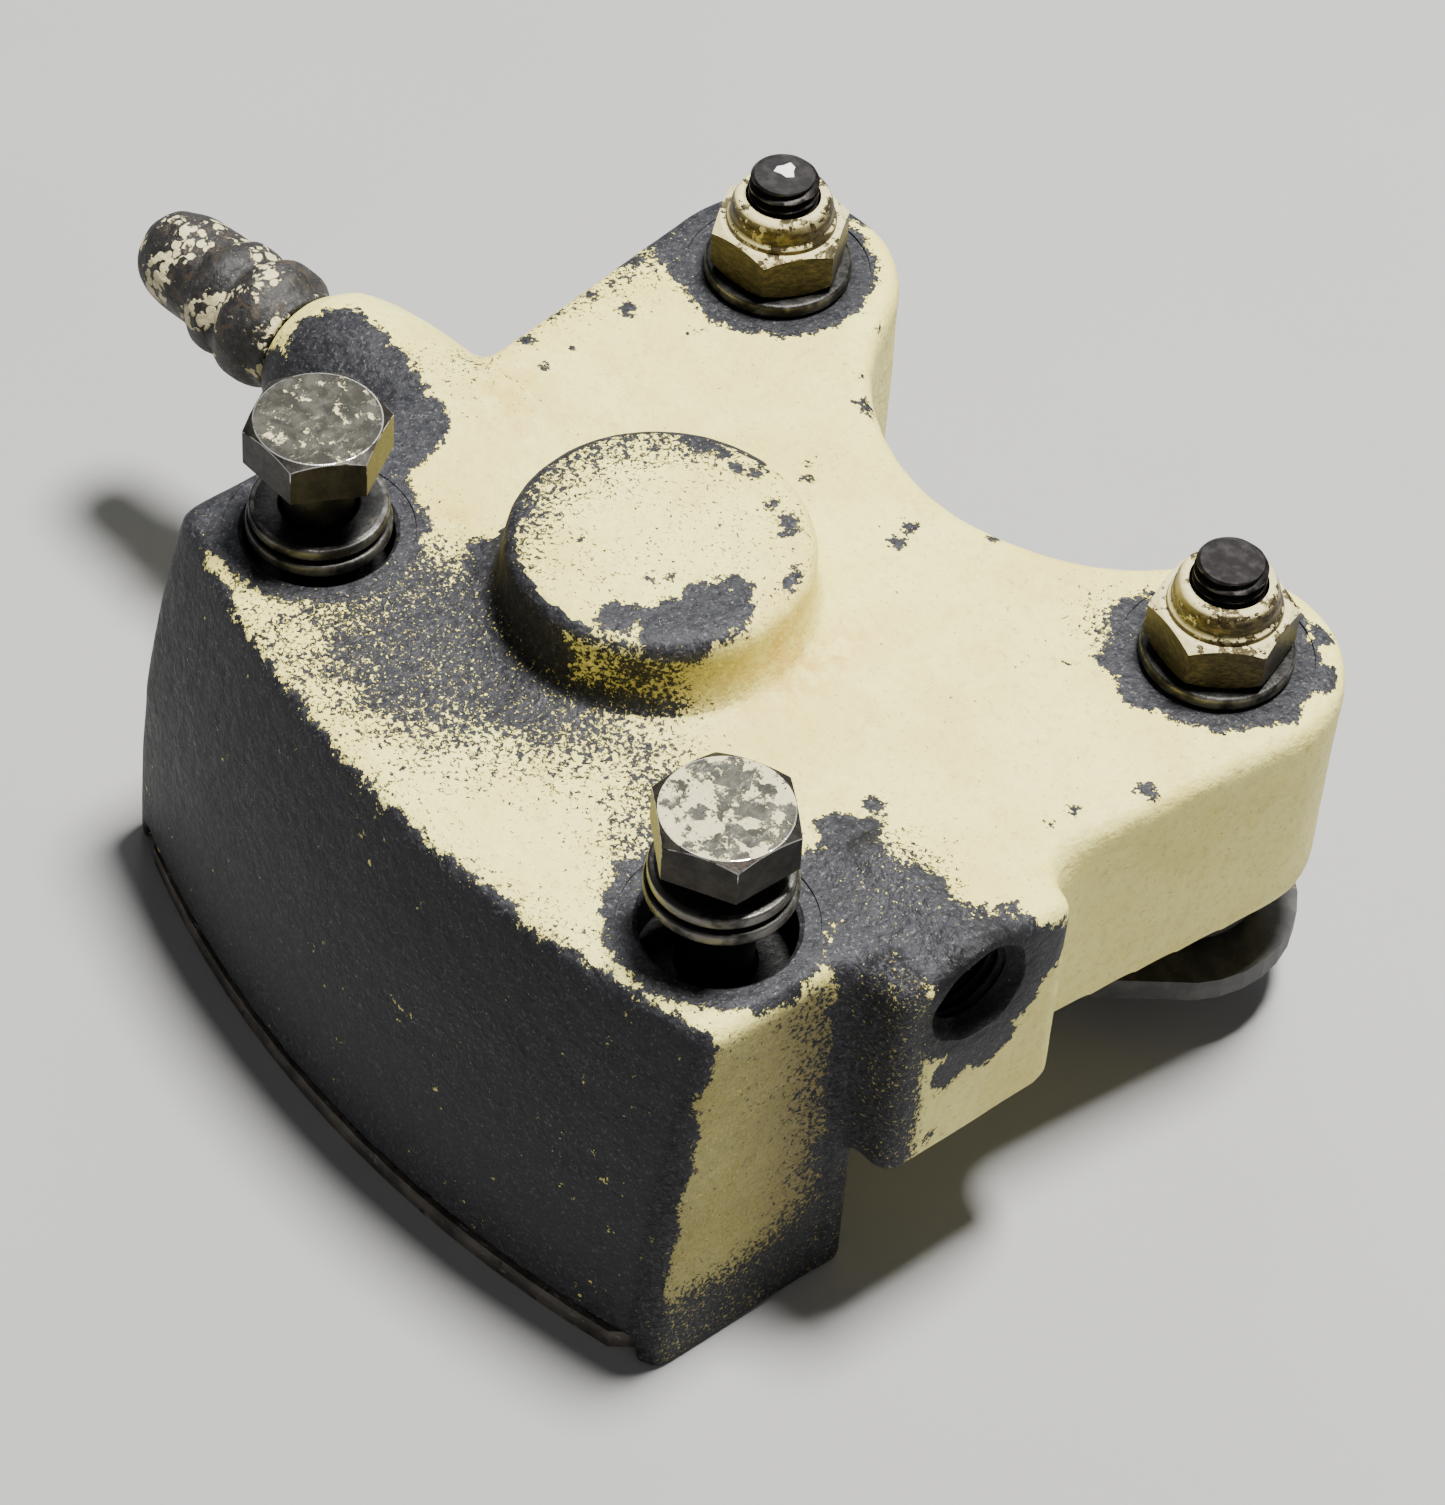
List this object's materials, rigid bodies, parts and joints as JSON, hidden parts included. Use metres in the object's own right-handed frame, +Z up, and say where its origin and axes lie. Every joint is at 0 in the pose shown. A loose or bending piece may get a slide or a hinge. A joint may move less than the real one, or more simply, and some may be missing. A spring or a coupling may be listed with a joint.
{
  "type": "floating disc brake caliper",
  "caption": "Floating hydraulic disc brake caliper: painted casting with a cylinder, pads, sliding bracket, long bolts backed out, a threaded port and a capped bleed screw.",
  "frame": {"origin": "on the bottom face of the reaction plate, midway between the axes of the two long bolts", "axes": "+Z up along the piston's axis, +X across the caliper towards the front bolt and the port, +Y towards the wheel hub"},
  "size_m": [0.146, 0.1083, 0.0672],
  "materials": {
    "cream_paint": "cream paint over a cast alloy, chipped",
    "bare_steel": "bare steel, worn",
    "dark_steel": "blackened steel, worn bright on its edges",
    "browned_steel": "dulled plating, brown",
    "black_bracket": "black paint",
    "piston_chrome": "hard chrome",
    "black_rubber": "matt black rubber",
    "friction_lining": "resin-bonded friction material"
  },
  "bodies": {
    "housing": {"caliper_body": "cream_paint", "reaction_plate": "bare_steel", "outer_pad_backing": "dark_steel", "outer_pad_lining": "friction_lining", "pad_spring": "bare_steel", "piston_seal": "black_rubber", "dust_seal": "black_rubber", "right_guide_pin": "dark_steel", "left_guide_pin": "dark_steel", "right_lock_nut": "browned_steel", "left_lock_nut": "browned_steel", "right_stud_washer": "dark_steel", "left_stud_washer": "dark_steel", "right_pin_boot": "black_rubber", "left_pin_boot": "black_rubber"},
    "piston": {"piston": "piston_chrome"},
    "inner_pad": {"inner_pad_backing": "dark_steel", "inner_pad_lining": "friction_lining"},
    "bracket": {"bracket_plate": "black_bracket", "right_bush": "browned_steel", "left_bush": "browned_steel"},
    "front_bolt": {"front_bolt": "dark_steel"},
    "front_washers": {"front_flat_washer": "dark_steel", "front_spring_washer": "dark_steel"},
    "rear_bolt": {"rear_bolt": "dark_steel"},
    "rear_washers": {"rear_flat_washer": "dark_steel", "rear_spring_washer": "dark_steel"},
    "bleed_screw": {"bleed_screw": "browned_steel"},
    "bleed_cap": {"bleed_cap": "black_rubber"}
  },
  "joints": [
    {"name": "piston_slide", "type": "slide", "parent": "housing", "child": "piston", "axis": [0, 0, -1], "range_m": [0, 0.0047]},
    {"name": "inner_pad_slide", "type": "slide", "parent": "housing", "child": "inner_pad", "axis": [0, 0, -1], "range_m": [0, 0.0047]},
    {"name": "bracket_slide", "type": "slide", "parent": "housing", "child": "bracket", "axis": [0, 0, 1], "range_m": [-0.006, 0.009], "deforming": ["right_pin_boot", "left_pin_boot"]},
    {"name": "front_bolt_travel", "type": "slide", "parent": "housing", "child": "front_bolt", "axis": [0, 0, -1], "range_m": [0, 0.0131]},
    {"name": "front_washer_travel", "type": "slide", "parent": "housing", "child": "front_washers", "axis": [0, 0, -1], "range_m": [0, 0.011]},
    {"name": "rear_bolt_travel", "type": "slide", "parent": "housing", "child": "rear_bolt", "axis": [0, 0, -1], "range_m": [0, 0.0122]},
    {"name": "rear_washer_travel", "type": "slide", "parent": "housing", "child": "rear_washers", "axis": [0, 0, -1], "range_m": [0, 0.006]},
    {"name": "bleed_screw_turn", "type": "hinge", "parent": "housing", "child": "bleed_screw", "pos_m": [-0.0672, 0.0214, 0.039], "axis": [-0.993, -0.1184, 0], "range_deg": [0, 270]},
    {"name": "bleed_cap_pull", "type": "slide", "parent": "bleed_screw", "child": "bleed_cap", "axis": [-0.993, -0.1184, 0], "range_m": [0, 0.025]}
  ],
  "couplings": [
    {"joint": "inner_pad_slide", "follows": "piston_slide", "ratio": 1},
    {"joint": "front_washer_travel", "follows": "front_bolt_travel", "ratio": 0.83969},
    {"joint": "rear_washer_travel", "follows": "rear_bolt_travel", "ratio": 0.4918}
  ]
}
